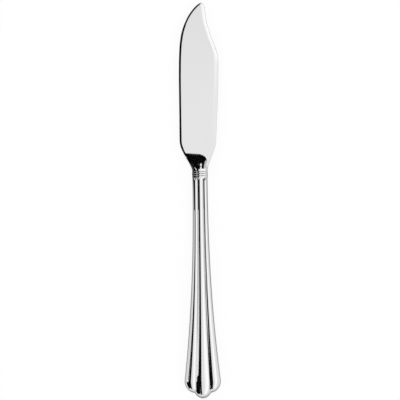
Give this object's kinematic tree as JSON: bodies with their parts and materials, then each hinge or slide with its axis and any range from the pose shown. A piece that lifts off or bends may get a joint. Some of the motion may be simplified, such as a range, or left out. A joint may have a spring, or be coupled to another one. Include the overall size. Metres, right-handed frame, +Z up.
{
  "type": "fish knife",
  "caption": "Table fish knife with a broad blunt blade, clipped point, bolster, beaded neck ring and a hollow reeded handle that widens to a scalloped end.",
  "frame": {"origin": "on the surface that the knife lies on, under the middle of its length and width", "axes": "+Y from the handle to the tip, +X from the curved edge to the spine, +Z up, square to the blade's flat"},
  "size_m": [0.021, 0.21, 0.008],
  "materials": {
    "blade_steel": "mirror polished stainless steel",
    "handle_steel": "mirror polished stainless steel",
    "braze": "polished flush with the steel",
    "filler": "matte cement"
  },
  "bodies": {
    "root": {"blade": "blade_steel", "neck_ferrule": "handle_steel", "front_shell": "handle_steel", "back_shell": "handle_steel", "seam_braze": "braze", "handle_filler": "filler"}
  },
  "joints": []
}
